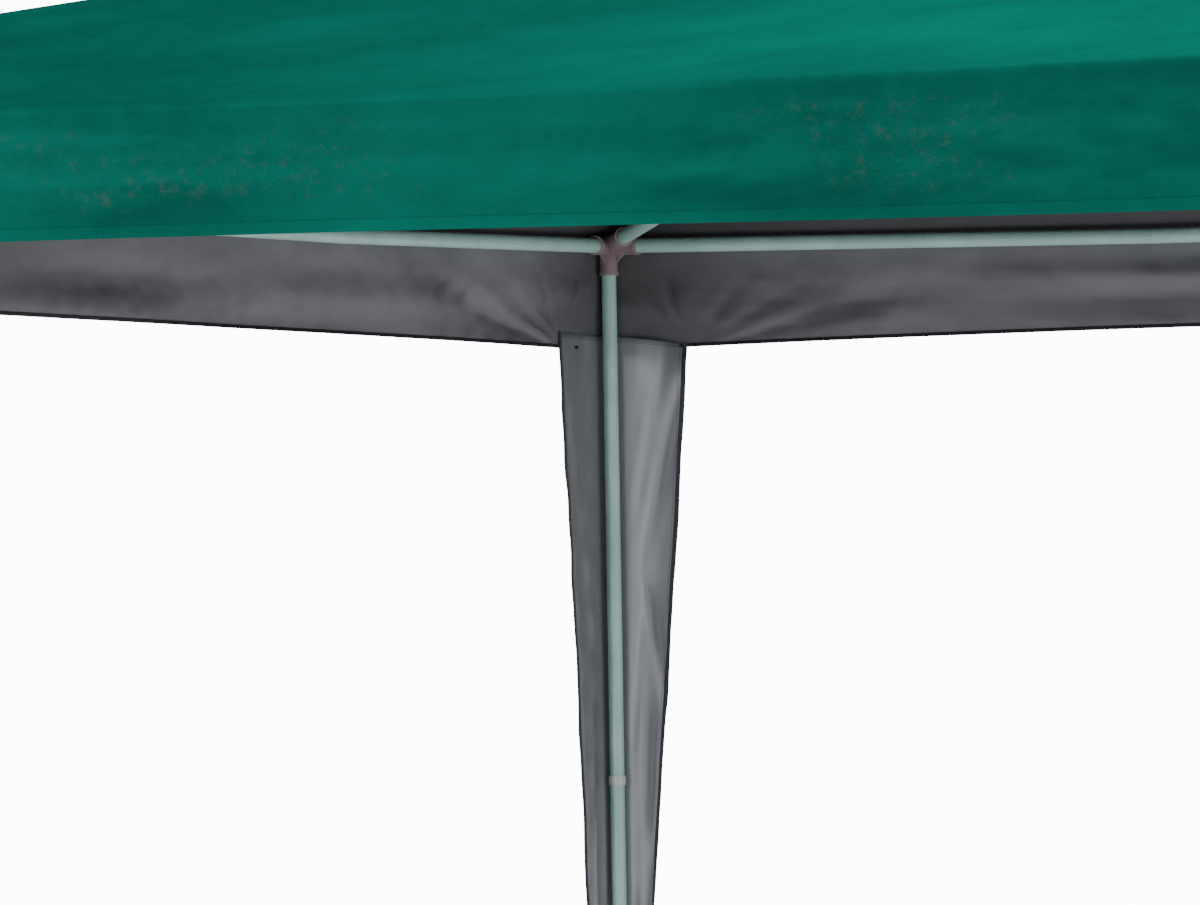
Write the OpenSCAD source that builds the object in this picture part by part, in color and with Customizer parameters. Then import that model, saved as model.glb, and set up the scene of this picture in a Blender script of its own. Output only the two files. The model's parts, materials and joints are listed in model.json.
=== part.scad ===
// Push-fit garden gazebo: a square frame of swaged steel tubes in moulded connectors, and a sewn
// canopy with a valance and four corner drapes.
// The origin is on the ground at the middle of the plan, +Z is up and the front is towards -Y.

/* [Plan] */
// Distance between leg centres, along both sides
side = 3000; // [2400:50:4000]
// Height of the eave rail axis above the ground
eave_h = 1950; // [1700:10:2300]
// Height that a hip pole gains between the corner and the peak
hip_rise = 330; // [200:10:400]

/* [Tubes] */
// Outer diameter of every tube
tube_d = 19; // [16:1:22]
// Wall thickness of every tube
tube_wall = 1; // [0.8:0.1:1.5]
// Length of the swaged spigot at the end of a tube section
spigot_l = 45; // [25:5:70]
// Radial clearance of a leg's spigots and collars
fit_gap = 0.05; // [0.02:0.01:0.1]
// Radial play of a tube in a moulded socket, and of a rail's spigots
joint_play = 0.6; // [0.55:0.05:0.7]
// Number of tube sections in an eave rail
rail_sections = 4; // [2:1:5]
// How far a rail hangs at the middle of its span, from the play in its joints
rail_sag = 18; // [0:1:18]
// Height of each of the two lower leg joints above the one below it
leg_step = 630; // [500:10:700]

/* [Connectors] */
// Wall thickness of a moulded socket
socket_wall = 1.8; // [1.6:0.1:2.4]
// Reach of a socket from the middle of its connector
socket_reach = 43; // [36:1:60]
// Thickness of the webs between the sockets
web_t = 5; // [3:0.5:8]
// Height of a leg joint's collar
collar_h = 12; // [8:1:20]

/* [Feet] */
// Side of a foot's square base
foot_w = 76; // [60:2:120]
// Thickness of a foot's base
foot_t = 5; // [3:0.5:8]
// Distance between a foot's two peg holes
peg_spacing = 54; // [44:1:56]
// Diameter of a peg hole
peg_hole_d = 9; // [6:0.5:10]

/* [Canopy] */
// Thickness of the sewn cloth with its seams
cloth_t = 1.2; // [0.8:0.1:2]
// Drop of the valance from the roof's fold
valance_h = 146; // [100:2:250]
// Width of a corner drape's flap where it meets the valance
drape_top_w = 130; // [80:5:250]
// Width of a corner drape's flap at its lower end
drape_end_w = 36; // [30:2:60]
// Length of a corner drape below the valance
drape_l = 1230; // [800:10:1300]

/* [Hidden] */
$fn = 48;
CORNERS = [["front_left", 0], ["front_right", 90], ["back_right", 180], ["back_left", 270]];
SIDES = [["front", 0], ["right", 90], ["back", 180], ["left", 270]];
HIP_PARTS = ["lower", "middle", "upper"];

tube_r = tube_d / 2;
bore_r = tube_r - tube_wall;
throat_l = 6;
butt_gap = 0.3;

socket_bore_r = tube_r + joint_play;
socket_r = socket_bore_r + socket_wall;
lip_r = socket_r + 0.75;
lip_l = 4;
socket_floor = 14;
leg_socket_drop = 38;
leg_socket_floor = 12;
web_reach = 33;
collar_bore_r = tube_r + fit_gap;
collar_wall = 1.4;
leg_joint_low = leg_step;
leg_joint_high = 2 * leg_step;

hip_run = side / sqrt(2);
hip_angle = atan(hip_rise / hip_run);
hip_l = sqrt(hip_run * hip_run + hip_rise * hip_rise);
hip_socket_floor = 28;
hip_socket_reach = 62;
hub_socket_floor = 22;
hub_socket_reach = 60;
hip_step = (hip_l - hip_socket_floor - hub_socket_floor) / len(HIP_PARTS);

hub_r = 32;
hub_h = 28;
cap_r = 30;
cap_crown = 18;
cap_sphere_r = 60;
cap_plug_r = 8;
cap_plug_l = 12;

foot_corner_r = 10;
foot_socket_h = 40;
foot_rib_r = 30;

cloth_gap = lip_r + 0.8;
canopy_half = side / 2 + cloth_gap + cloth_t;
fold_z = eave_h + socket_r + 0.3;
apex_z = eave_h + hip_rise + hub_h / 2 + cap_crown + 2;
valance_z = fold_z - valance_h;
drape_z = valance_z - drape_l;
tie_h = 20;
tie_r = cloth_gap - 0.1;
tie_wall = 1;

// Turns what is drawn for the front left corner, with its leg on the Z axis, to a corner.
module at_corner(turn) {
    rotate(turn)
        translate([-side / 2, -side / 2, 0])
            children();
}

// Points +Z along the front left corner's hip, from the corner's eave joint up to the peak.
module along_hip() {
    translate([0, 0, eave_h])
        rotate([0, 90 - hip_angle, 45])
            children();
}

// A tube section that stands on the origin, with a swaged spigot above its length. A clearance
// of 0 leaves the spigot out.
module tube_section(l, spigot_gap) {
    spigot_r = bore_r - spigot_gap;
    throat_r = spigot_r - tube_wall;
    has_spigot = spigot_gap > 0;
    difference() {
        union() {
            cylinder(r = tube_r, h = l);
            if (has_spigot)
                cylinder(r = spigot_r, h = l + spigot_l);
        }
        translate([0, 0, -1])
            cylinder(r = bore_r, h = has_spigot ? l - throat_l + 1 : l + 2);
        if (has_spigot)
            translate([0, 0, l - throat_l - 1])
                cylinder(r = throat_r, h = throat_l + spigot_l + 2);
    }
}

// The outside of a socket that stands on the origin, with a bead around its mouth.
module socket_body(reach) {
    cylinder(r = socket_r, h = reach);
    translate([0, 0, reach - lip_l])
        cylinder(r = lip_r, h = lip_l);
}

// The bore of a socket, from its floor out through its mouth.
module socket_bore(floor_z, reach) {
    translate([0, 0, floor_z])
        cylinder(r = socket_bore_r, h = reach - floor_z + 1);
}

// A triangular web in the XZ plane, with its right angle on the origin.
module web(run, drop) {
    rotate([90, 0, 0])
        linear_extrude(height = web_t, center = true)
            polygon([[0, 0], [run, 0], [0, -drop]]);
}

module foot(turn) {
    color("dimgray")
        rotate(turn)
            translate([-side / 2, -side / 2, 0])
                rotate(-turn)
                    foot_shape();
}

module foot_shape() {
    difference() {
        union() {
            linear_extrude(height = foot_t)
                foot_outline();
            cylinder(r = socket_r, h = foot_t + foot_socket_h);
            translate([0, 0, foot_t + foot_socket_h - lip_l])
                cylinder(r = lip_r, h = lip_l);
            for (turn = [45:90:315])
                rotate(turn)
                    translate([0, 0, foot_t])
                        mirror([0, 0, 1])
                            web(foot_rib_r, foot_socket_h - lip_l);
        }
        translate([0, 0, foot_t])
            cylinder(r = socket_bore_r, h = foot_socket_h + 1);
        for (x = [-1, 1] * peg_spacing / 2)
            translate([x, 0, -1])
                cylinder(d = peg_hole_d, h = foot_t + 2);
    }
}

module foot_outline() {
    straight = foot_w - 2 * foot_corner_r;
    square([foot_w, straight], center = true);
    square([straight, foot_w], center = true);
    for (x = [-1, 1] * straight / 2, y = [-1, 1] * straight / 2)
        translate([x, y])
            circle(r = foot_corner_r);
}

module leg_lower(turn) {
    color("lightsteelblue")
        at_corner(turn)
            translate([0, 0, foot_t])
                tube_section(leg_joint_low - foot_t, fit_gap);
}

module leg_middle(turn) {
    color("lightsteelblue")
        at_corner(turn)
            translate([0, 0, leg_joint_low])
                tube_section(leg_joint_high - leg_joint_low, fit_gap);
}

module leg_upper(turn) {
    color("lightsteelblue")
        at_corner(turn)
            translate([0, 0, leg_joint_high])
                tube_section(eave_h - leg_socket_floor - leg_joint_high, 0);
}

module collar(turn, joint_z) {
    color("lightgray")
        at_corner(turn)
            translate([0, 0, joint_z])
                difference() {
                    cylinder(r = collar_bore_r + collar_wall, h = collar_h, center = true);
                    cylinder(r = collar_bore_r, h = collar_h + 2, center = true);
                }
}

module corner_connector(turn) {
    color("rosybrown")
        at_corner(turn)
            difference() {
                union() {
                    translate([0, 0, eave_h])
                        corner_body();
                    along_hip()
                        socket_body(hip_socket_reach);
                }
                translate([0, 0, eave_h])
                    corner_bores();
                along_hip()
                    socket_bore(hip_socket_floor, hip_socket_reach);
            }
}

module corner_body() {
    sphere(r = socket_r + 1);
    rotate([180, 0, 0])
        socket_body(leg_socket_drop);
    rotate([0, 90, 0])
        socket_body(socket_reach);
    rotate([-90, 0, 0])
        socket_body(socket_reach);
    for (turn = [0, 90])
        rotate(turn)
            web(web_reach, web_reach);
    translate([0, 0, -web_t / 2])
        linear_extrude(height = web_t)
            polygon([[0, 0], [web_reach, 0], [0, web_reach]]);
}

module corner_bores() {
    rotate([180, 0, 0])
        socket_bore(leg_socket_floor, leg_socket_drop);
    rotate([0, 90, 0])
        socket_bore(socket_floor, socket_reach);
    rotate([-90, 0, 0])
        socket_bore(socket_floor, socket_reach);
}

// How far a rail hangs below its ends, at joint i of its sections.
function rail_drop(i) = 4 * rail_sag * (i / rail_sections) * (1 - i / rail_sections);

module eave_rail(turn) {
    step = (side - 2 * socket_floor) / rail_sections;
    color("lightsteelblue")
        at_corner(turn)
            for (i = [0:rail_sections - 1])
                translate([socket_floor + i * step, 0, eave_h - rail_drop(i)])
                    rotate([0, 90 + atan((rail_drop(i + 1) - rail_drop(i)) / step), 0])
                        tube_section(step - butt_gap, i < rail_sections - 1 ? joint_play : 0);
}

module hip_pole(turn, i) {
    color("lightsteelblue")
        at_corner(turn)
            along_hip()
                translate([0, 0, hip_socket_floor + i * hip_step])
                    tube_section(hip_step, i < len(HIP_PARTS) - 1 ? fit_gap : 0);
}

module peak_connector() {
    color("rosybrown")
        difference() {
            union() {
                translate([0, 0, eave_h + hip_rise])
                    cylinder(r = hub_r, h = hub_h, center = true);
                hub_sockets()
                    socket_body(hub_socket_reach);
            }
            hub_sockets()
                socket_bore(hub_socket_floor, hub_socket_reach);
            translate([0, 0, eave_h + hip_rise + hub_h / 2 - cap_plug_l])
                cylinder(r = cap_plug_r + fit_gap, h = cap_plug_l + 1);
        }
}

// Points +Z from the peak down along each of the four hips.
module hub_sockets() {
    for (c = CORNERS)
        rotate(c[1])
            translate([0, 0, eave_h + hip_rise])
                rotate([0, 90 + hip_angle, 225])
                    children();
}

module peak_cap() {
    color("dimgray")
        translate([0, 0, eave_h + hip_rise + hub_h / 2]) {
            intersection() {
                translate([0, 0, cap_crown - cap_sphere_r])
                    sphere(r = cap_sphere_r);
                cylinder(r = cap_r, h = cap_crown + 1);
            }
            translate([0, 0, 1 - cap_plug_l])
                cylinder(r = cap_plug_r, h = cap_plug_l);
        }
}

module roof_panel(turn) {
    base = [[-canopy_half, -canopy_half, fold_z], [canopy_half, -canopy_half, fold_z], [0, 0, apex_z]];
    top = [for (p = base) p + [0, 0, cloth_t]];
    color("seagreen")
        rotate(turn)
            polyhedron(
                points = concat(base, top),
                faces = [[0, 1, 2], [5, 4, 3], [0, 3, 4, 1], [1, 4, 5, 2], [2, 5, 3, 0]]
            );
}

module valance(turn) {
    color("mediumseagreen")
        rotate(turn)
            translate([-canopy_half, -canopy_half, valance_z])
                cube([2 * canopy_half - cloth_t, cloth_t, valance_h]);
}

// One flap of a drape in the XZ plane, from its corner edge on the Z axis.
module drape_flap(set_in) {
    rotate([90, 0, 0])
        linear_extrude(height = cloth_t)
            polygon([
                [set_in, 0],
                [drape_end_w, 0],
                [drape_top_w, drape_l],
                [set_in, drape_l]
            ]);
}

// The two flaps stay a butt gap apart at the corner, so that each is a flat solid.
module drape(turn) {
    color("gray")
        at_corner(turn)
            translate([0, 0, drape_z]) {
                translate([-cloth_gap - cloth_t, -cloth_gap, 0])
                    drape_flap(0);
                translate([-cloth_gap, -cloth_gap - cloth_t, 0])
                    mirror([1, -1, 0])
                        drape_flap(cloth_t + butt_gap);
            }
}

module drape_ties() {
    color("dimgray")
        for (c = CORNERS)
            at_corner(c[1])
                translate([0, 0, drape_z])
                    difference() {
                        cylinder(r = tie_r, h = tie_h);
                        translate([0, 0, -1])
                            cylinder(r = tie_r - tie_wall, h = tie_h + 2);
                    }
}

for (c = CORNERS) {
    foot(c[1]);
    leg_lower(c[1]);
    leg_middle(c[1]);
    leg_upper(c[1]);
    collar(c[1], leg_joint_low);
    collar(c[1], leg_joint_high);
    corner_connector(c[1]);
    drape(c[1]);
    for (i = [0:len(HIP_PARTS) - 1])
        hip_pole(c[1], i);
}
for (s = SIDES) {
    eave_rail(s[1]);
    roof_panel(s[1]);
    valance(s[1]);
}
peak_connector();
peak_cap();
drape_ties();
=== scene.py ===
"""The looks of a push-fit garden gazebo: sewn canopy, corner drapes, painted tubes and moulded plastic.

Lengths are metres, in the CAD frame: the origin on the ground at the middle of the plan, +Z up.
"""

import json
import math

import bpy
import numpy as np
from mathutils import Matrix, Vector


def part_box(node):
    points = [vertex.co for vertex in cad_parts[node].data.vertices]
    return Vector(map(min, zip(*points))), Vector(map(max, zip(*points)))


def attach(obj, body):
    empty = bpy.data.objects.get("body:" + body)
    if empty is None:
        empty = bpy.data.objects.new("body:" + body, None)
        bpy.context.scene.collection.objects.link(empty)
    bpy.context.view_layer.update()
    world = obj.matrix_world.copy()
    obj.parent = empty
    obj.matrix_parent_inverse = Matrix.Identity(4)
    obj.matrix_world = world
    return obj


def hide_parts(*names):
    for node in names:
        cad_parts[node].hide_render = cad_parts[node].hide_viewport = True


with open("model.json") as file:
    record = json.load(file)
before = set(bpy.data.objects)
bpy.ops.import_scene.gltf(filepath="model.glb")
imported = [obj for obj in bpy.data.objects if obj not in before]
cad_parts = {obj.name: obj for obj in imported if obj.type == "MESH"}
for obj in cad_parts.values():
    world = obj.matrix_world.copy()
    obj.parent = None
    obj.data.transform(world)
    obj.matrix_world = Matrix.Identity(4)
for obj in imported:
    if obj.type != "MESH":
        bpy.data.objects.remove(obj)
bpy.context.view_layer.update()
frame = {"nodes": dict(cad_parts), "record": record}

# ---------------------------------------------------------------- places, from the frame

CORNERS = {"front_left": 0, "front_right": 1, "back_right": 2, "back_left": 3}
SIDES = {"front": 0, "right": 1, "back": 2, "left": 3}

roof_low, roof_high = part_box("roof_panel_front")
valance_low, valance_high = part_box("valance_front")
leg_low, leg_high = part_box("leg_upper_front_left")
rail_low, rail_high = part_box("eave_rail_front")
drape_low, drape_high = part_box("drape_front_left")
tie_low, tie_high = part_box("drape_ties")

HALF = roof_high.x
LEG = -(leg_low.x + leg_high.x) / 2
TUBE_R = (leg_high.x - leg_low.x) / 2
RAIL_Z = rail_high.z - TUBE_R
RAIL_SAG = rail_high.z - rail_low.z - 2 * TUBE_R
CLOTH_CAD_T = valance_high.y - valance_low.y
FOLD_Z = roof_low.z + CLOTH_CAD_T
APEX_Z = roof_high.z
HEM_Z = valance_low.z
DRAPE_END_Z = drape_low.z
TIE_R = (tie_high.x - tie_low.x) / 2 - LEG

DRAPE_TOP_W = drape_high.x - drape_low.x

CLOTH_T = 0.0009
ROOF_ANGLE = math.atan2(APEX_Z - FOLD_Z, HALF)


def smooth(low, high, x):
    """0 below low, 1 above high, and an even curve between."""
    t = np.clip((np.asarray(x, float) - low) / (high - low), 0, 1)
    return t * t * (3 - 2 * t)


def ripples(x, y, seed, wave, count=7, stretch=1.0):
    """Waves in all directions over x and y, about wave metres long and one high. stretch lengthens them along x."""
    random = np.random.RandomState(seed)
    total = np.zeros(np.broadcast(x, y).shape)
    for _ in range(count):
        angle = random.uniform(0, math.pi)
        k = 2 * math.pi / (wave * random.uniform(0.6, 1.6))
        phase = random.uniform(0, 2 * math.pi)
        way = np.asarray(x) * math.cos(angle) / stretch + np.asarray(y) * math.sin(angle)
        total += np.sin(k * way + phase)
    return total / math.sqrt(count)


def turned(points, quarter):
    """Points drawn for the front or the front left corner, turned to another side or corner."""
    out = np.array(points, float)
    for _ in range(quarter):
        out = np.stack([-out[..., 1], out[..., 0], out[..., 2]], -1)
    return out


# ---------------------------------------------------------------- meshes


def mesh_object(name, points, faces, materials, face_materials=None, smooth_faces=True):
    """A mesh from points and faces, with its materials."""
    mesh = bpy.data.meshes.new(name)
    mesh.from_pydata([tuple(p) for p in points], [], [tuple(f) for f in faces])
    for material in materials:
        mesh.materials.append(material)
    if face_materials is not None:
        mesh.polygons.foreach_set("material_index", np.asarray(face_materials, np.int32))
    mesh.polygons.foreach_set("use_smooth", [smooth_faces] * len(mesh.polygons))
    mesh.update()
    made = bpy.data.objects.new(name, mesh)
    bpy.context.collection.objects.link(made)
    return made


def grid_faces(rows, columns, closed=False):
    """The quads of a grid of rows by columns of points, row by row."""
    across = columns if closed else columns - 1
    i, j = np.meshgrid(np.arange(rows - 1), np.arange(across), indexing="ij")
    k = (j + 1) % columns
    faces = np.stack([i * columns + j, i * columns + k, (i + 1) * columns + k, (i + 1) * columns + j], -1)
    return faces.reshape(-1, 4)


def tube_faces(rows, columns):
    """The faces of a tube of rows rings of columns points each, with a cap at both ends."""
    faces = [tuple(f) for f in grid_faces(rows, columns, closed=True)]
    return faces + [tuple(range(columns)), tuple(range((rows - 1) * columns, rows * columns))[::-1]]


def give_values(made, **values):
    """Stores one number at each point of a mesh, for its material to read."""
    for name, numbers in values.items():
        layer = made.data.attributes.new(name, "FLOAT", "POINT")
        layer.data.foreach_set("value", np.asarray(numbers, np.float32).ravel())


def thicken(made, thickness, inner_offset=0):
    """Gives a sheet its thickness, inwards. Its inner face takes the material inner_offset slots on."""
    solid = made.modifiers.new("thickness", "SOLIDIFY")
    solid.thickness = thickness
    solid.offset = -1
    solid.use_even_offset = False
    solid.material_offset = inner_offset
    solid.material_offset_rim = 0


# ---------------------------------------------------------------- materials


class Shader:
    """A node material, built from a few calls."""

    def __init__(self, name, roughness, sheen=0.0, gloss=0.5):
        self.material = bpy.data.materials.new(name)
        self.material.use_nodes = True
        self.nodes = self.material.node_tree.nodes
        self.links = self.material.node_tree.links
        self.surface = self.nodes["Principled BSDF"]
        self.surface.inputs["Roughness"].default_value = roughness
        self.surface.inputs["Sheen Weight"].default_value = sheen
        self.surface.inputs["Specular IOR Level"].default_value = gloss
        self.height = None

    def put(self, socket, value):
        """Links a socket to another, or sets its number or colour."""
        if isinstance(value, bpy.types.NodeSocket):
            self.links.new(value, socket)
        elif isinstance(value, (tuple, list)):
            opaque = len(value) == 3 and len(socket.default_value) == 4
            socket.default_value = (*value, 1.0) if opaque else value
        else:
            socket.default_value = value

    def add(self, kind, inputs, out=0, **settings):
        """Adds a node, with its inputs and settings, and gives the socket it puts out."""
        node = self.nodes.new("ShaderNode" + kind)
        for name, value in settings.items():
            setattr(node, name, value)
        for name, value in inputs.items():
            self.put(node.inputs[name], value)
        return node.outputs[out]

    def maths(self, operation, a, b=0.0, clamp=False):
        return self.add("Math", {0: a, 1: b}, operation=operation, use_clamp=clamp)

    def times(self, a, b):
        return self.maths("MULTIPLY", a, b)

    def ramp(self, value, low, high, to_low=0.0, to_high=1.0):
        """Maps low..high to to_low..to_high, evenly eased and clamped."""
        inputs = {"Value": value, "From Min": low, "From Max": high, "To Min": to_low, "To Max": to_high}
        return self.add("MapRange", inputs, interpolation_type="SMOOTHSTEP")

    def mix(self, share, a, b):
        return self.add("Mix", {0: share, 6: a, 7: b}, out=2, data_type="RGBA")

    def place(self, stretch=(1, 1, 1)):
        """The point on the object, in metres."""
        point = self.add("TexCoord", {}, out=3)
        if stretch == (1, 1, 1):
            return point
        return self.add("Mapping", {"Vector": point, "Scale": stretch})

    def noise(self, scale, detail=2.0, rough=0.5, vector=None):
        inputs = {"Vector": vector or self.place(), "Scale": scale, "Detail": detail, "Roughness": rough}
        return self.add("TexNoise", inputs)

    def stored(self, name):
        """A number that give_values stored at the mesh's points."""
        return self.add("Attribute", {}, out="Fac", attribute_name=name)

    def band(self, value, centre, width):
        """1 where value is within half of width of centre, with soft sides."""
        away = self.maths("ABSOLUTE", self.maths("SUBTRACT", value, centre))
        return self.ramp(away, width / 2, width / 2 * 0.4)

    def bump(self, height, strength, distance):
        """Adds relief to the surface, on top of any that it has."""
        inputs = {"Height": height, "Strength": strength, "Distance": distance}
        if self.height is not None:
            inputs["Normal"] = self.height
        self.height = self.add("Bump", inputs)
        self.put(self.surface.inputs["Normal"], self.height)

    def colour(self, value):
        self.put(self.surface.inputs["Base Color"], value)
        return self.material

    def roughness(self, value):
        self.put(self.surface.inputs["Roughness"], value)


THREAD = 0.0011
STITCH = 0.0032


def weave(shader, strength):
    """Plain weave: warp and weft threads that pass over and under each other."""
    turn = 2 * math.pi / THREAD
    warp = shader.maths("SINE", shader.times(shader.stored("along"), turn))
    weft = shader.maths("SINE", shader.times(shader.stored("down"), turn))
    shader.bump(shader.times(warp, weft), strength, 0.0002)


def stitches(shader, across, centre, along):
    """A row of stitches at a distance across the cloth, as a mask from 0 to 1."""
    line = shader.band(across, centre, 0.0014)
    dash = shader.maths("SINE", shader.times(along, 2 * math.pi / STITCH))
    return shader.times(line, shader.ramp(dash, -0.4, 0.1))


GREEN_DARK = (0.000, 0.099, 0.072)
GREEN_LIGHT = (0.000, 0.139, 0.101)
GREEN_BRIGHT = (0.000, 0.176, 0.128)
GREEN_FOLD_SHADE = (0.000, 0.055, 0.042)
GREEN_THREAD = (0.001, 0.070, 0.052)
CREASE_GREY = (0.110, 0.096, 0.106)
INNER_DARK = (0.180, 0.178, 0.192)
INNER_LIGHT = (0.240, 0.237, 0.255)
INNER_PALE = (0.280, 0.276, 0.296)
INNER_FOLD_SHADE = (0.080, 0.080, 0.088)
INNER_PAINTED_SHADE = (0.046, 0.046, 0.052)
# Near-black: the colour of the stitch thread, and painted shade on the hem's turned-in strip.
HEM_INSIDE = (0.016, 0.018, 0.026)
DRAPE_DARK = (0.294, 0.305, 0.333)
DRAPE_LIGHT = (0.396, 0.409, 0.437)
DRAPE_PAINTED_SHADE = (0.150, 0.158, 0.170)
DRAPE_PALE = (0.478, 0.497, 0.534)
BINDING = (0.020, 0.022, 0.034)
PAINT_DARK = (0.400, 0.640, 0.590)
PAINT_LIGHT = (0.500, 0.760, 0.705)
CONNECTOR_DARK = (0.245, 0.170, 0.195)
CONNECTOR_LIGHT = (0.330, 0.245, 0.272)
COLLAR_DARK = (0.400, 0.440, 0.440)
COLLAR_LIGHT = (0.520, 0.560, 0.560)
FOOT_DARK = (0.030, 0.030, 0.032)
FOOT_LIGHT = (0.055, 0.055, 0.058)
FLOOR = (0.800, 0.800, 0.795)
FLOOR_GLOW = 0.42
FLOOR_R = 24.0
FLOOR_FADE_R = 11.0


def outer_cloth():
    """Green coated polyester: mottled dye, crinkled patches, painted shade and highlight in its folds, a painted
    highlight along the eave fold, weave, seams and hem stitching.
    """
    s = Shader("canopy_green", roughness=0.6, gloss=0.0)
    hem, seam, fold = s.stored("hem_d"), s.stored("seam_d"), s.stored("crease")
    mottle = s.ramp(s.noise(2.2, 4.0, 0.55), 0.34, 0.68)
    streak = s.ramp(s.noise(7.0, 4.0, 0.6, s.place((1.0, 1.0, 5.0))), 0.36, 0.68)
    fine = s.ramp(s.noise(40.0, 5.0, 0.6), 0.3, 0.75)
    green = s.mix(mottle, GREEN_DARK, GREEN_LIGHT)
    on_valance = s.times(s.ramp(hem, 0.012, 0.040), s.ramp(hem, 0.135, 0.115))
    green = s.mix(s.times(s.times(streak, on_valance), 0.45), green, GREEN_BRIGHT)
    green = s.mix(s.times(fine, 0.22), green, GREEN_BRIGHT)
    # Painted shade in the valance's fold valleys and painted highlight on their ridges, from the stored crease
    # values.
    green = s.mix(s.ramp(fold, 0.05, 0.95, 0.0, 0.62), green, GREEN_FOLD_SHADE)
    green = s.mix(s.ramp(fold, -0.05, -0.80, 0.0, 0.45), green, GREEN_BRIGHT)
    patch = s.ramp(s.noise(3.6, 2.0, 0.5, s.place((1.0, 1.0, 2.2))), 0.54, 0.68)
    crinkle = s.ramp(s.noise(60.0, 6.0, 0.72, s.place((1.0, 1.0, 1.4))), 0.48, 0.72)
    marks = s.times(s.times(patch, on_valance), crinkle)
    green = s.mix(s.times(marks, 0.34), green, CREASE_GREY)
    # A painted highlight along the eave fold, its strength varied by the mottle.
    wear_and_highlight = s.ramp(mottle, 0.1, 0.7, 0.25, 1.0)
    fold_highlight = s.times(s.band(hem, FOLD_Z - HEM_Z - 0.004, 0.007), wear_and_highlight)
    green = s.mix(s.times(fold_highlight, 0.55), green, GREEN_BRIGHT)
    green = s.mix(s.ramp(hem, 0.0145, 0.0100, 0.0, 0.12), green, GREEN_BRIGHT)
    rows = s.maths("MAXIMUM", stitches(s, hem, 0.0125, s.stored("along")),
                   stitches(s, seam, 0.007, s.stored("down")))
    green = s.mix(s.times(rows, 0.8), green, GREEN_THREAD)
    weave(s, 0.06)
    s.bump(s.times(patch, s.noise(90.0, 4.0, 0.65)), 0.4, 0.0012)
    s.bump(s.noise(14.0, 4.0, 0.55), 0.22, 0.003)
    s.bump(rows, 0.6, -0.0006)
    return s.colour(green)


def inner_cloth():
    """The canopy's grey inner face, with painted shade under the roof, towards the corners and in its folds."""
    s = Shader("canopy_inside", roughness=0.6, gloss=0.12)
    fold = s.stored("crease")
    shade = s.ramp(s.noise(3.0, 4.0, 0.55), 0.35, 0.68)
    streak = s.ramp(s.noise(9.0, 4.0, 0.6, s.place((1.0, 1.0, 3.0))), 0.38, 0.70)
    grey = s.mix(shade, INNER_DARK, INNER_LIGHT)
    grey = s.mix(s.times(streak, 0.30), grey, INNER_PALE)
    # Painted shade in the fold valleys and painted highlight on their ridges, from the stored crease values.
    grey = s.mix(s.ramp(fold, 0.05, 0.85, 0.0, 0.75), grey, INNER_FOLD_SHADE)
    grey = s.mix(s.ramp(fold, -0.05, -0.75, 0.0, 0.60), grey, INNER_PALE)
    # Painted shade: the roof's underside and the cloth near each corner are coloured darker.
    grey = s.mix(s.ramp(s.stored("hem_d"), 0.140, 0.152, 0.0, 0.85), grey, INNER_PAINTED_SHADE)
    grey = s.mix(s.ramp(s.stored("corner_d"), 0.34, 0.02, 0.0, 0.55), grey, INNER_PAINTED_SHADE)
    rows = stitches(s, s.stored("seam_d"), 0.007, s.stored("down"))
    grey = s.mix(s.times(rows, 0.6), grey, HEM_INSIDE)
    weave(s, 0.08)
    s.bump(s.noise(16.0, 4.0, 0.55), 0.35, 0.003)
    return s.colour(grey)


def hem_cloth():
    """The hem's turned-in strip, painted near-black for the deep shade it lies in."""
    s = Shader("hem_inside", roughness=0.7, gloss=0.1)
    shade = s.noise(60.0, 3.0)
    weave(s, 0.12)
    return s.colour(s.mix(shade, HEM_INSIDE, (0.038, 0.042, 0.052)))


def drape_cloth():
    """Light grey polyester of the corner drapes, with the painted shade and highlight that drape_row stores in its
    crease values.
    """
    s = Shader("drape_grey", roughness=0.45, sheen=0.05, gloss=0.3)
    fold = s.stored("crease")
    shade = s.ramp(s.noise(5.0, 4.0, 0.55, s.place((1.0, 1.0, 0.4))), 0.34, 0.68)
    grey = s.mix(shade, DRAPE_DARK, DRAPE_LIGHT)
    # Painted shade from the folds, under the hem, over the right flap and at the bend; painted highlight on the
    # fold ridges.
    grey = s.mix(s.ramp(fold, 0.05, 0.95, 0.0, 0.85), grey, DRAPE_PAINTED_SHADE)
    grey = s.mix(s.ramp(fold, -0.05, -0.95, 0.0, 0.65), grey, DRAPE_PALE)
    rows = s.maths("MAXIMUM", stitches(s, s.stored("edge_d"), 0.009, s.stored("down")),
                   stitches(s, s.stored("down"), 0.006, s.stored("along")))
    grey = s.mix(s.times(rows, 0.7), grey, BINDING)
    weave(s, 0.12)
    s.bump(s.noise(18.0, 4.0, 0.55), 0.3, 0.002)
    return s.colour(grey)


def tape(name, dark, light, rib):
    """Woven tape, with ribs rib metres apart that run across it."""
    s = Shader(name, roughness=0.75, sheen=0.1)
    ribs = s.maths("SINE", s.times(s.stored("along"), 2 * math.pi / rib))
    s.bump(ribs, 0.4, 0.0003)
    s.bump(s.noise(400.0, 2.0), 0.3, 0.0004)
    return s.colour(s.mix(s.noise(90.0, 4.0, 0.6), dark, light))


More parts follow.
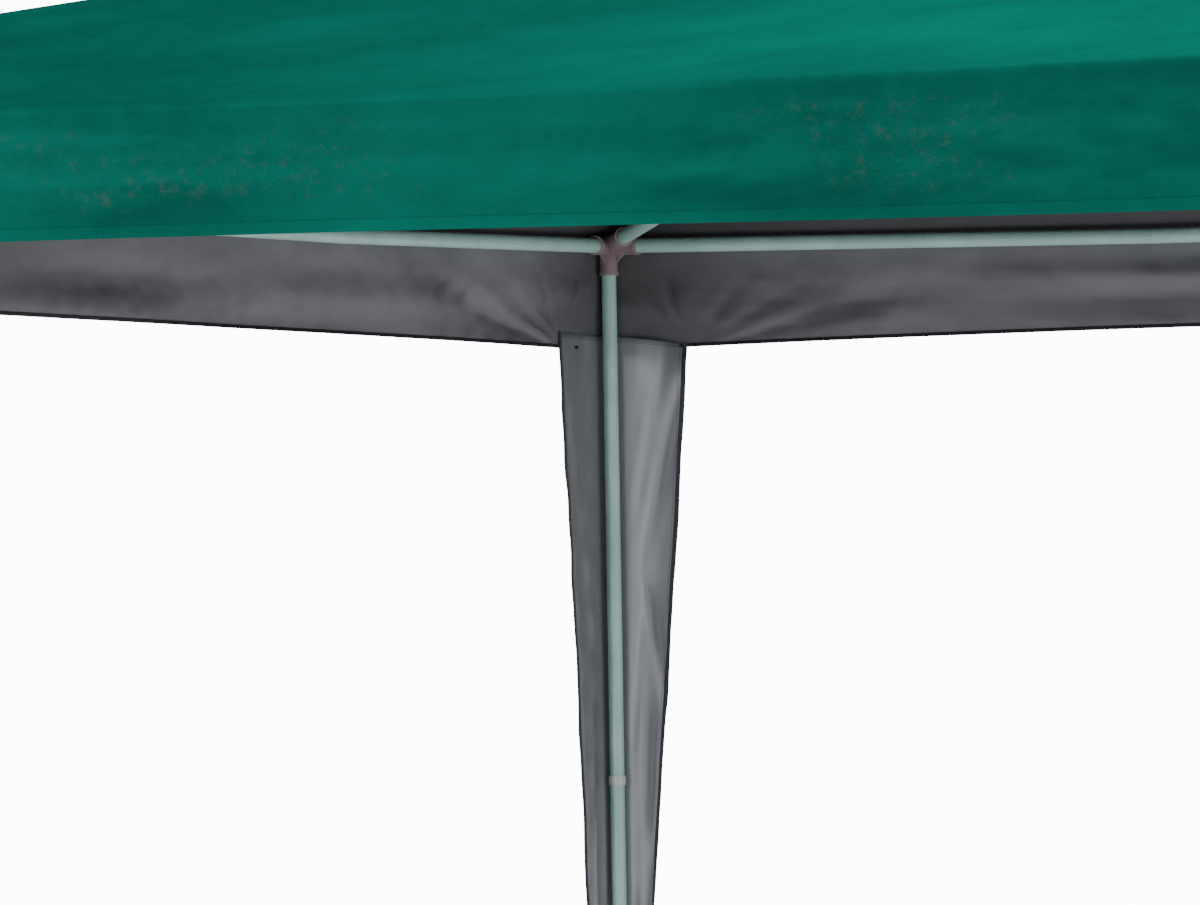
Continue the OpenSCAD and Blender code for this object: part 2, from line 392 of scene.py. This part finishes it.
def powder_coat():
    """Pale grey-green paint on steel tube: fine orange peel, faint scuffs and dust."""
    s = Shader("tube_paint", roughness=0.38)
    s.surface.inputs["Coat Weight"].default_value = 0.12
    s.surface.inputs["Coat Roughness"].default_value = 0.25
    dust = s.ramp(s.noise(9.0, 5.0, 0.6), 0.35, 0.7)
    paint = s.mix(dust, PAINT_DARK, PAINT_LIGHT)
    scuff = s.ramp(s.noise(55.0, 6.0, 0.72, s.place((1.0, 1.0, 0.15))), 0.64, 0.72)
    paint = s.mix(s.times(scuff, 0.35), paint, (0.20, 0.24, 0.23))
    s.roughness(s.ramp(s.noise(30.0, 3.0), 0.3, 0.7, 0.32, 0.46))
    s.bump(s.noise(900.0, 2.0), 0.12, 0.0002)
    return s.colour(paint)


def moulded(name, dark, light, roughness):
    """Injection-moulded plastic: fine texture, slight marbling and edges lighter with wear."""
    s = Shader(name, roughness=roughness)
    swirl = s.ramp(s.noise(34.0, 5.0, 0.6), 0.35, 0.68)
    plastic = s.mix(swirl, dark, light)
    wear_and_highlight = s.ramp(s.add("NewGeometry", {}, out="Pointiness"), 0.53, 0.62)
    plastic = s.mix(s.times(wear_and_highlight, 0.5), plastic, tuple(min(1.0, 1.35 * c) for c in light))
    s.roughness(s.ramp(s.noise(60.0, 3.0), 0.3, 0.7, roughness - 0.06, roughness + 0.08))
    s.bump(s.noise(1400.0, 2.0), 0.2, 0.00025)
    return s.colour(plastic)


def plain_floor():
    """The pale floor that the gazebo stands on, which fades out far from it."""
    s = Shader("floor_pale", roughness=0.85, gloss=0.1)
    s.surface.inputs["Emission Color"].default_value = (1.0, 1.0, 1.0, 1.0)
    s.surface.inputs["Emission Strength"].default_value = FLOOR_GLOW
    away = s.add("VectorMath", {0: s.place()}, out=1, operation="LENGTH")
    s.put(s.surface.inputs["Alpha"], s.ramp(away, FLOOR_R, FLOOR_FADE_R))
    return s.colour(s.mix(s.noise(0.8, 3.0), FLOOR, tuple(c * 0.985 for c in FLOOR)))


GREEN_CLOTH = outer_cloth()
GREY_CLOTH = inner_cloth()
HEM_CLOTH = hem_cloth()
DRAPE_CLOTH = drape_cloth()
BINDING_TAPE = tape("drape_binding", BINDING, (0.036, 0.038, 0.052), 0.0016)
TIE_TAPE = tape("tie_tape", (0.012, 0.013, 0.018), (0.030, 0.032, 0.040), 0.0012)
NODE_FINISHES = {
    "tube_paint": powder_coat(),
    "connector_plastic": moulded("connector_plastic", CONNECTOR_DARK, CONNECTOR_LIGHT, 0.55),
    "collar_plastic": moulded("collar_plastic", COLLAR_DARK, COLLAR_LIGHT, 0.45),
    "foot_plastic": moulded("foot_plastic", FOOT_DARK, FOOT_LIGHT, 0.5),
}


def finish_nodes():
    """Gives each CAD node that stays in view its material."""
    for part in frame["record"]["subparts"]:
        finish = NODE_FINISHES.get(part["material_slot"])
        if finish is None:
            continue
        mesh = frame["nodes"][part["node"]].data
        mesh.materials.clear()
        mesh.materials.append(finish)


# ---------------------------------------------------------------- canopy

FOLD_R = 0.006
CORNER_R = 0.008
FINE_EDGE = 0.66
FINE_COLUMNS = 80
WIDE_COLUMNS = 36
ROOF_ROWS = 66
VALANCE_ROWS = 22
HEM_TURN = 0.002
HEM_W = 0.013
HEM_INSIDE_W = 0.0045
HEM_ROWS = 6
SKIRT_FLARE = 0.0035
RIDGE_BAND = 0.10
ROOF_SAG = 0.030
POLE_DIP = 0.012
FOLD_SHARE = 0.8


def along_side():
    """Distances of the canopy's points from a corner to the middle of a side, close together by the corner."""
    close = [0, 0.0025, 0.005, 0.008, 0.013, 0.020]
    fine = np.linspace(0.028, FINE_EDGE, FINE_COLUMNS)
    far = np.linspace(FINE_EDGE, HALF, WIDE_COLUMNS)[1:]
    return np.concatenate([close, fine, far])


def skirt_flare(drop):
    """How far a valance stands out from its corner line, drop metres below the fold."""
    return SKIRT_FLARE * min(1, max(drop / (FOLD_Z - HEM_Z), 0)) ** 1.5


def canopy_profile():
    """The canopy's line from the peak over the fold and down to its turned hem: how far out, how high, the
    direction of its outer face as an angle above the horizontal, and the length along it."""
    tangent = FOLD_R * math.tan((math.pi / 2 - ROOF_ANGLE) / 2)
    run = HALF - tangent * math.cos(ROOF_ANGLE)
    out = list(np.linspace(0.012, run - 0.05, ROOF_ROWS)) + [run - 0.035, run - 0.02, run - 0.01]
    high = [APEX_Z - o * math.tan(ROOF_ANGLE) for o in out]
    facing = [math.pi / 2 - ROOF_ANGLE] * len(out)
    for angle in np.linspace(math.pi / 2 - ROOF_ANGLE, 0, 7):
        out.append(HALF - FOLD_R + FOLD_R * math.cos(angle))
        high.append(FOLD_Z - tangent + FOLD_R * math.sin(angle))
        facing.append(angle)
    above_hem = np.linspace(high[-1] - 0.006, HEM_Z + HEM_W + 0.006, VALANCE_ROWS)
    drop = np.concatenate([above_hem, [HEM_Z + HEM_W, HEM_Z + 0.008, HEM_Z + 0.004]])
    out += [HALF + skirt_flare(FOLD_Z - z) for z in drop]
    high += list(drop)
    facing += [0] * len(drop)
    edge = HALF + SKIRT_FLARE
    for angle in np.linspace(-0.4, -math.pi, 5):
        out.append(edge - HEM_TURN / 2 + HEM_TURN / 2 * math.cos(angle))
        high.append(HEM_Z + HEM_TURN / 2 * (1 + math.sin(angle)))
        facing.append(angle)
    for rise in (0.002, 0.0032, HEM_INSIDE_W):
        out.append(edge - HEM_TURN)
        high.append(HEM_Z + rise)
        facing.append(-math.pi)
    out, high, facing = map(np.array, (out, high, facing))
    length = np.concatenate([[0], np.cumsum(np.hypot(np.diff(out), np.diff(high)))])
    return out, high, facing, length


# Folds that fan out over a valance from where a drape's edge pulls at its hem: the direction, the spread and the
# depth of each, the length over which it fades, and how much it curls upwards.
FOLD_FAN = (
    (0.09, 0.035, 0.0020, 0.26, 0.15),
    (0.22, 0.075, 0.0070, 0.44, 0.30),
    (0.50, 0.075, 0.0028, 0.22, 0.25),
    (0.95, 0.110, 0.0030, 0.15, 0.20),
    (1.95, 0.085, 0.0034, 0.13, 0.00),
    (2.30, 0.090, 0.0022, 0.12, -0.10),
)


def corner_folds(d, up, seed):
    """Soft folds in a valance that fan out from where a drape's edge pulls at the hem, at d from the corner and up
    above the hem: how far they stand out, and how much they shade the cloth."""
    random = np.random.RandomState(seed)
    away, rise = d - DRAPE_TOP_W + 0.012, up + 0.004
    radius = np.hypot(away, rise)
    angle = np.arctan2(rise, away)
    total, dark = np.zeros_like(radius), np.zeros_like(radius)
    for centre, width, depth, reach, curl in FOLD_FAN:
        lean = centre * random.uniform(0.93, 1.08) + curl * radius
        size = random.uniform(0.6, 1.15) * smooth(0.01, 0.08, radius)
        size = size * np.exp(-((radius / reach) ** 1.5))
        offset = (angle - lean) / width
        ridge = np.exp(-(offset ** 2))
        valley = np.exp(-((offset + 1.7) ** 2))
        total += depth * size * (ridge - 0.75 * valley)
        dark += np.minimum(1, depth / 0.007) * size * (valley - 0.6 * ridge)
    return total, dark


def roof_shape(h, x, d, side):
    """How far the cloth of a roof panel stands above its plane."""
    ring = h / HALF
    middle = np.clip(1 - np.abs(x) / np.maximum(h, 1e-6), 0, 1)
    pole = smooth(0.0, 0.16, 1 - ring) * smooth(0.08, 0.30, ring) * POLE_DIP * (1 - ring)
    sag = ROOF_SAG * np.sin(math.pi * np.clip(ring, 0, 1)) ** 0.9 * middle * (2 - middle)
    band = 0.0045 * (1 - smooth(0.55 * RIDGE_BAND, 1.25 * RIDGE_BAND, d)) * smooth(0.10, 0.25, ring)
    crest = 0.0016 * np.exp(-((d / 0.012) ** 2)) * smooth(0.05, 0.15, ring)
    calm = smooth(0.0, 0.10, d) * smooth(0.02, 0.2, ring) * smooth(0.0, 0.07, 1 - ring)
    slow = 0.0040 * ripples(x, h, 40 + side, 0.75, stretch=1.8)
    quick = 0.0013 * ripples(x, h, 50 + side, 0.17, stretch=0.55)
    return -pole - sag + band + crest + calm * (slow + quick)


def valance_shape(x, d, drop, side):
    """How far the cloth of a valance stands out from its plane, drop metres below the fold, and how much its folds
    shade it."""
    height = FOLD_Z - HEM_Z
    low = smooth(0.015, 0.07, drop)
    calm = smooth(0.0, 0.05, d)
    flare = 0.6 * skirt_flare(drop) * ripples(x, 0 * x, 60 + side, 1.6)
    level = ripples(x, drop, 70 + side, 0.075, count=6, stretch=7.0)
    slanted = ripples(x + 0.9 * drop, drop, 80 + side, 0.16, count=7, stretch=2.4)
    small = ripples(x, drop, 90 + side, 0.030, count=8, stretch=1.8)
    up = height - drop
    reach = DRAPE_TOP_W + 1.0
    near_start = corner_folds(np.minimum(d, reach), up, 100 + 2 * side)
    near_end = corner_folds(np.minimum(d, reach), up, 101 + 2 * side)
    folds, dark = (np.where(x > 0, end, start) for start, end in zip(near_start, near_end))
    off = calm * (flare + low * (0.0030 * level + 0.0018 * slanted + 0.0005 * small))
    off = off - low * calm * FOLD_SHARE * folds
    lap = smooth(DRAPE_TOP_W + 0.04, DRAPE_TOP_W + 0.01, d) * smooth(height - 0.05, height - 0.02, drop)
    off = np.where(off < 0, off * (1 - lap), off)
    shade = low * (-0.30 * level - 0.22 * slanted - 0.10 * small) + smooth(0.0, 0.05, drop) * calm * dark
    return off, shade


# How far the hem lies above its level at each corner, and how it tilts and bows along each side.
HEM_AT_CORNER = (0.004, -0.004, 0.003, -0.001)
HEM_TILT = (-0.0108, 0.004, 0.008, -0.003)
HEM_BOW = (-0.0018, 0.002, 0.001, 0.0)


def hem_rise(x, side):
    """How far the hem lies above its level, x along a side."""
    share, middle = x / HALF, 1 - (x / HALF) ** 2
    first, last = HEM_AT_CORNER[side], HEM_AT_CORNER[(side + 1) % 4]
    return first + (last - first) * (share + 1) / 2 + (HEM_TILT[side] * x + HEM_BOW[side]) * middle


def canopy_points():
    """The canopy's grid, ring by ring from the peak, its length from peak to hem, and the numbers that its cloth
    reads at each point: the length along its side and down the cloth, the distance from the nearest hip seam,
    from the hem's edge and from the corner, and how much its folds shade it."""
    out, high, facing, length = canopy_profile()
    near = along_side()
    rows, per_side = len(out), 2 * len(near) - 2
    base = np.concatenate([near, 2 * HALF - near[-2:0:-1]])
    roof_rows = facing >= math.pi / 2 - ROOF_ANGLE - 1e-6
    points = np.zeros((rows, 4, per_side, 3))
    shade, seam, along, corner = np.zeros((4, rows, 4, per_side))
    edge = length[roof_rows].max()
    for i in range(rows):
        h = out[i]
        fine = min(FINE_EDGE, h / 3)
        first = np.minimum(base, 2 * HALF - base)
        d = np.where(first <= FINE_EDGE, first * fine / FINE_EDGE,
                     fine + (first - FINE_EDGE) * (h - fine) / (HALF - FINE_EDGE))
        x = np.where(base <= HALF, d - h, h - d)
        x_cut = x * HALF / h
        sag = -RAIL_SAG * (1 - (x_cut / HALF) ** 2) * smooth(0.0, 1.0, h / HALF) ** 2
        if not roof_rows[i]:
            sag *= 1 - smooth(FOLD_Z - 0.02, HEM_Z, high[i]) if high[i] < FOLD_Z - 0.02 else 1
        radius = CORNER_R * float(smooth(HALF - 0.05, HALF - 0.005, h))
        for side in range(4):
            if roof_rows[i]:
                off = roof_shape(h, x, d, side) * float(1 - smooth(edge - 0.03, edge, length[i]))
            else:
                off, shade[i, side] = valance_shape(x, d, FOLD_Z - high[i], side)
            outward = h + off * math.cos(max(facing[i], 0))
            low = float(smooth(0.012, FOLD_Z - HEM_Z - 0.02, FOLD_Z - high[i]))
            up = high[i] + sag + off * math.sin(max(facing[i], 0)) + low * hem_rise(x, side)
            if radius > 0:
                bend = np.clip(1 - d / radius, 0, 1) * math.pi / 4
                inside = d < radius
                outward = np.where(inside, outward - radius * (1 - np.cos(bend)), outward)
                x_side = np.where(inside, np.sign(x) * (h - radius + radius * np.sin(bend)), x)
            else:
                x_side = x
            points[i, side] = turned(np.stack([x_side, -outward, np.broadcast_to(up, x.shape)], -1), side)
            seam[i, side] = d if roof_rows[i] else 1.0
            along[i, side] = x
            corner[i, side] = d
    columns = 4 * per_side
    down = np.repeat(length, columns)
    hem = np.repeat(np.where(facing > -0.2, high - HEM_Z, 0.002), columns)
    values = {"along": along, "down": down, "seam_d": seam, "hem_d": hem, "crease": shade, "corner_d": corner}
    return points.reshape(-1, 3), rows, columns, length[-1], values


def make_canopy():
    """One sheet of cloth from the peak over the folds to the hems: green outside and grey inside."""
    points, rows, columns, length, values = canopy_points()
    peak = len(points)
    points = np.vstack([points, [[0, 0, APEX_Z - 0.001]]])
    faces = [tuple(f) for f in grid_faces(rows, columns, closed=True)]
    hem_start = (rows - HEM_ROWS) * columns
    kinds = [2 if f[0] >= hem_start else 0 for f in faces]
    faces += [(peak, (j + 1) % columns, j) for j in range(columns)]
    kinds += [0] * columns
    materials = [GREEN_CLOTH, GREY_CLOTH, HEM_CLOTH, HEM_CLOTH]
    canopy = mesh_object("canopy_sheet", points, [f[::-1] for f in faces], materials, kinds)
    at_peak = {name: 1.0 if name == "hem_d" else 0.0 for name in values}
    give_values(canopy, **{name: [*numbers.ravel(), at_peak[name]] for name, numbers in values.items()})
    thicken(canopy, CLOTH_T, inner_offset=1)
    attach(canopy, "canopy")
    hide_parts(*[f"roof_panel_{s}" for s in SIDES], *[f"valance_{s}" for s in SIDES])


# ---------------------------------------------------------------- corner drapes

# Width of the left and right flap, at the hem of the valance and at the drape's lower end.
DRAPE_FLAP_W = ((0.119, 0.020), (0.138, 0.045))
DRAPE_LAP = 0.018
DRAPE_SET_IN = 0.0029
DRAPE_CORNER_R = 0.014
DRAPE_FINE_LAP = 0.03
DRAPE_ROWS = 90
FLAP_COLUMNS = 22


def drape_width(z, flap):
    """Width of a drape's left (0) or right (1) flap from the corner's edge, at a height."""
    top, end = DRAPE_FLAP_W[flap]
    return end + (top - end) * (z - DRAPE_END_Z) / (HEM_Z - DRAPE_END_Z)


# Creases in a drape's flaps: the flap, where each starts and ends (as a share of the flap's width, and in metres
# below the hem), its half width as a share of the flap's, and its strength.
DRAPE_CREASES = (
    (0, (0.95, 0.02), (0.30, 0.30), 0.10, 0.8),
    (0, (0.62, 0.00), (0.20, 0.24), 0.08, 0.5),
    (0, (0.36, 0.29), (0.92, 0.47), 0.09, 1.0),
    (0, (0.40, 0.30), (0.20, 0.52), 0.08, 0.7),
    (0, (0.85, 0.60), (0.30, 0.86), 0.12, 0.5),
    (1, (0.90, 0.05), (0.40, 0.40), 0.12, 0.3),
    (1, (0.30, 0.55), (0.85, 0.80), 0.12, 0.3),
)


def drape_creases(free, fall, flap):
    """How far a flap's creases rise at a point, as a share: each is a ridge with a dip along one side."""
    total = np.zeros_like(free)
    for its_flap, start, end, width, strength in DRAPE_CREASES:
        if its_flap != flap:
            continue
        run = (fall - start[1]) / (end[1] - start[1])
        offset = (free - start[0] - (end[0] - start[0]) * run) / width
        fade = smooth(-0.08, 0.15, run) * smooth(1.1, 0.75, run)
        total += strength * fade * (np.exp(-(offset ** 2)) - 0.8 * np.exp(-((offset - 1.5) ** 2)))
    return total


def drape_row(share_down, share, seed, lean):
    """Points across a drape, share_down of the way from its top to its lower end: along the left flap to the
    corner, and on along the right one. Also the painted shade at each point: from its folds, darker near the top
    under the hem, over the whole right flap, and at the corner's bend."""
    face = HALF - DRAPE_SET_IN + SKIRT_FLARE * (1 - 0.6 * share_down)
    rows, shades = [], []
    for flap in (0, 1):
        t = share[share < 0] + 1 if flap == 0 else share[share > 0]
        free = 1 - t if flap == 0 else t
        lap = DRAPE_LAP + (0.003 if flap else -0.012) * free
        z = HEM_Z + lap + (DRAPE_END_Z - HEM_Z - lap) * share_down
        width = drape_width(np.minimum(z, HEM_Z), flap)
        away = DRAPE_CORNER_R + (width - DRAPE_CORNER_R - DRAPE_SET_IN) * free
        fall = HEM_Z - z
        top = smooth(0.30, 0.0, fall)
        phase = lean * fall + 1.7 * flap + 0.6 * seed
        pleat = np.sin(2 * math.pi * (1.05 * free + 0.10 * np.sin(3.0 * fall + seed)) + phase)
        depth = (0.0022 if flap else 0.0062) * free * (1 - 0.7 * top) * smooth(0, 0.22, free)
        crease = np.sin(2 * math.pi * (2.3 * free - 1.4 * fall) + 2.1 * seed)
        crease = crease * smooth(0.25, 0.6, fall) * smooth(1.15, 0.8, fall)
        wavy = 0.0008 * np.sin(34 * z + 3 * flap + seed) * free ** 2 * (1 - top)
        sharp = drape_creases(free, fall, flap)
        small = ripples(away, z, 200 + 10 * seed + flap, 0.05, count=6, stretch=0.6)
        small = small * smooth(0.1, 0.4, free)
        off = depth * pleat + 0.0016 * crease * free * (1 - free) * 4
        off = off + wavy + 0.0008 * small - 0.0030 * sharp
        room = 0.0008 + 0.0060 * smooth(0.026, 0.060, away) * (1 - top)
        off = np.where(off < 0, -room * np.tanh(-off / room), off)
        # Painted shade: darker near the top of each flap under the hem, and darker all over the right flap.
        painted_shade_bias = (0.30 + 0.50 * smooth(1.0, 0.1, fall)) if flap else 0.25 * smooth(0.35, 0.0, fall)
        shades.append(painted_shade_bias + (0.15 if flap else 0.7) * pleat * smooth(0, 0.3, free)
                      + (0.15 if flap else 0.45) * crease * 4 * free * (1 - free) + 0.12 * small - 0.8 * sharp)
        across = (-face - off, -face + away) if flap == 0 else (-face + away, -face - off)
        rows.append(np.stack([*across, z], -1))
    bend = np.linspace(math.pi, 1.5 * math.pi, 7)
    centre = -face + DRAPE_CORNER_R
    z = np.full_like(bend, HEM_Z + DRAPE_LAP + (DRAPE_END_Z - HEM_Z - DRAPE_LAP) * share_down)
    arc = np.stack([centre + DRAPE_CORNER_R * np.cos(bend), centre + DRAPE_CORNER_R * np.sin(bend), z], -1)
    # The bend round the corner takes a fixed painted shade.
    return np.vstack([rows[0], arc, rows[1]]), np.concatenate([shades[0], 0 * bend + 0.4, shades[1]])


def make_drape(name, quarter):
    """A corner drape: one tapered cloth that turns the corner outside the leg, with a bound edge each side."""
    seed = quarter + 1
    left_share = np.linspace(-1, -0.001, FLAP_COLUMNS + 1)[:-1]
    right_share = np.linspace(0.001, 1, FLAP_COLUMNS + 1)[1:]
    share = np.concatenate([left_share, right_share])
    levels = np.concatenate([np.linspace(0, DRAPE_FINE_LAP, 6), np.linspace(0.041, 1, DRAPE_ROWS - 6)])
    lean = 2.6 + 0.5 * math.sin(3.0 * seed)
    made = [drape_row(level, share, seed, lean) for level in levels]
    grid, shade = np.array([m[0] for m in made]), np.array([m[1] for m in made])
    rows, columns = grid.shape[:2]
    steps = np.linalg.norm(np.diff(grid, axis=1), axis=2)
    along = np.concatenate([np.zeros((rows, 1)), np.cumsum(steps, axis=1)], axis=1)
    edge = np.minimum(along, along[:, -1:] - along)
    down = grid[0, :, 2] - grid[:, :, 2]
    points = turned(grid.reshape(-1, 3), quarter)
    drape = mesh_object(f"drape_sheet_{name}", points, grid_faces(rows, columns), [DRAPE_CLOTH])
    # The crease values are painted shade and highlight, which drape_cloth reads.
    give_values(drape, along=along, down=down, edge_d=edge, crease=shade)
    thicken(drape, CLOTH_T * 0.8)
    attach(drape, "canopy")
    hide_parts(f"drape_{name}")
    for word, column, inner in (("left", 0, 4), ("right", -1, -5)):
        edge_line, inner_line = turned(grid[:, column], quarter), turned(grid[:, inner], quarter)
        make_binding(f"drape_binding_{name}_{word}", edge_line, inner_line)


BINDING_W = 0.0052
BINDING_T = 0.0022


def make_binding(name, edge, inner):
    """Tape folded over a drape's free edge: a flat tube swept down it, with a rounded outside."""
    inward = inner - edge
    inward /= np.linalg.norm(inward, axis=1)[:, None]
    fall = np.gradient(edge, axis=0)
    fall /= np.linalg.norm(fall, axis=1)[:, None]
    face = np.cross(inward, fall)
    profile = []
    for angle in np.linspace(-math.pi / 2, math.pi / 2, 7):
        profile.append((-BINDING_T / 2 * math.cos(angle), BINDING_T / 2 * math.sin(angle)))
    profile += [(0.4 * BINDING_W, BINDING_T / 2), (BINDING_W, 0.35 * BINDING_T)]
    profile += [(BINDING_W, -0.35 * BINDING_T), (0.4 * BINDING_W, -BINDING_T / 2)]
    ring = [edge + a * inward + b * face for a, b in profile]
    grid = np.stack(ring, 1)
    rows, columns = grid.shape[:2]
    tube = mesh_object(name, grid.reshape(-1, 3), tube_faces(rows, columns), [BINDING_TAPE])
    length = np.concatenate([[0], np.cumsum(np.linalg.norm(np.diff(edge, axis=0), axis=1))])
    give_values(tube, along=np.repeat(length, columns))
    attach(tube, "canopy")
    return tube


# ---------------------------------------------------------------- ties and scene


def make_tie(name, quarter):
    """Hook-and-loop tape round a leg, with its tail lapped over itself."""
    wall, height = 0.0008, tie_high.z - tie_low.z
    turns = np.linspace(0, 2 * math.pi * 1.22, 96)
    lap = smooth(2 * math.pi * 0.93, 2 * math.pi * 1.0, turns) * 0.0011
    radius = TIE_R - 0.0022 + lap
    profile = []
    for z, inside in ((0, 0), (0, 1), (0.5, 1), (1, 1), (1, 0), (0.5, 0)):
        bow = 0.0002 * math.sin(math.pi * z)
        profile.append((inside * wall + bow * (1 if inside else -1), z * height))
    start = 0.25 * math.pi
    grid = np.array([
        [((r + a) * math.cos(t + start) - LEG,
          (r + a) * math.sin(t + start) - LEG,
          tie_low.z + z + 0.0015 * math.sin(t)) for a, z in profile]
        for t, r in zip(turns, radius)
    ])
    rows, columns = grid.shape[:2]
    points = turned(grid.reshape(-1, 3), quarter)
    tie = mesh_object(f"drape_tie_{name}", points, tube_faces(rows, columns), [TIE_TAPE])
    give_values(tie, along=np.repeat(turns * TIE_R, columns))
    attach(tie, "canopy")
    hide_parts("drape_ties")


def make_floor():
    """A round floor, level with the feet."""
    around = np.linspace(0, 2 * math.pi, 96, endpoint=False)
    rim = [(FLOOR_R * math.cos(a), FLOOR_R * math.sin(a), 0) for a in around]
    floor = mesh_object("floor", rim, [range(96)], [plain_floor()], smooth_faces=False)


def make_light(name, place, target, size, power):
    """A round lamp at a place, aimed at a target."""
    data = bpy.data.lights.new(name, "AREA")
    data.shape = "DISK"
    data.size = size
    data.energy = power
    light = bpy.data.objects.new(name, data)
    light.location = place
    light.rotation_euler = (Vector(target) - Vector(place)).to_track_quat("-Z", "Y").to_euler()
    bpy.context.collection.objects.link(light)


def make_world(side_level, top_level, backdrop_level):
    """Even light all round, dimmer from above, in front of a white backdrop that only the camera sees."""
    world = bpy.data.worlds.new("studio")
    world.use_nodes = True
    nodes, links = world.node_tree.nodes, world.node_tree.links
    way = nodes.new("ShaderNodeSeparateXYZ")
    links.new(nodes.new("ShaderNodeTexCoord").outputs["Generated"], way.inputs[0])
    level = nodes.new("ShaderNodeMapRange")
    links.new(way.outputs["Z"], level.inputs["Value"])
    for name, value in (("From Min", 0.1), ("From Max", 0.8), ("To Min", side_level), ("To Max", top_level)):
        level.inputs[name].default_value = value
    sky = nodes["Background"]
    sky.inputs["Color"].default_value = (0.985, 0.99, 1.0, 1)
    links.new(level.outputs[0], sky.inputs["Strength"])
    backdrop = nodes.new("ShaderNodeBackground")
    backdrop.inputs["Strength"].default_value = backdrop_level
    seen = nodes.new("ShaderNodeMixShader")
    links.new(nodes.new("ShaderNodeLightPath").outputs["Is Camera Ray"], seen.inputs[0])
    links.new(sky.outputs[0], seen.inputs[1])
    links.new(backdrop.outputs[0], seen.inputs[2])
    links.new(seen.outputs[0], nodes["World Output"].inputs[0])
    bpy.context.scene.world = world


SIDE_LIGHT = 0.56
TOP_LIGHT = 0.28
BACKDROP_LIGHT = 16.0

# Each lamp's name, place, target, diameter and power. The two in front are above the near hem, so the near valance
# shades the far ones and not the drape below them.
LAMPS = (
    ("front_left", (-2.6, -3.0, 1.98), (-0.5, -1.5, 1.9), 0.4, 24),
    ("above_right", (2.2, -1.1, 3.6), (0.1, -0.8, 2.0), 1.4, 145),
    ("low_right", (8.0, 0.3, 1.0), (-1.5, 1.5, 1.7), 2.2, 80),
    ("low_front", (-3.5, -12.0, 2.40), (-1.4, 1.5, 1.0), 0.8, 285),
)

CAMERA_FROM_EAVE = Vector((3.483, -9.087, -0.540))
CAMERA_YAW, CAMERA_PITCH, CAMERA_ROLL = (math.radians(a) for a in (-25.28, 1.34, -0.96))
CAMERA_LENS = 271.8


def make_camera():
    """A long lens outside the near side, a little below the eave, aimed under the valance at the far corner."""
    level = Vector((math.sin(CAMERA_YAW), math.cos(CAMERA_YAW), 0))
    right = Vector((math.cos(CAMERA_YAW), -math.sin(CAMERA_YAW), 0))
    ahead = level * math.cos(CAMERA_PITCH) + Vector((0, 0, math.sin(CAMERA_PITCH)))
    up = Vector((0, 0, math.cos(CAMERA_PITCH))) - level * math.sin(CAMERA_PITCH)
    right, up = (right * math.cos(CAMERA_ROLL) + up * math.sin(CAMERA_ROLL),
                 up * math.cos(CAMERA_ROLL) - right * math.sin(CAMERA_ROLL))
    data = bpy.data.cameras.new("camera")
    data.lens = CAMERA_LENS
    data.clip_start, data.clip_end = 0.1, 1000
    camera = bpy.data.objects.new("camera", data)
    turn = Matrix((right, up, -ahead)).transposed().to_4x4()
    camera.matrix_world = Matrix.Translation(CAMERA_FROM_EAVE + Vector((0, 0, RAIL_Z))) @ turn
    bpy.context.collection.objects.link(camera)
    bpy.context.scene.camera = camera


make_camera()
make_world(SIDE_LIGHT, TOP_LIGHT, BACKDROP_LIGHT)
for lamp in LAMPS:
    make_light(*lamp)
make_floor()
finish_nodes()
make_canopy()
for corner, quarter in CORNERS.items():
    make_drape(corner, quarter)
    make_tie(corner, quarter)
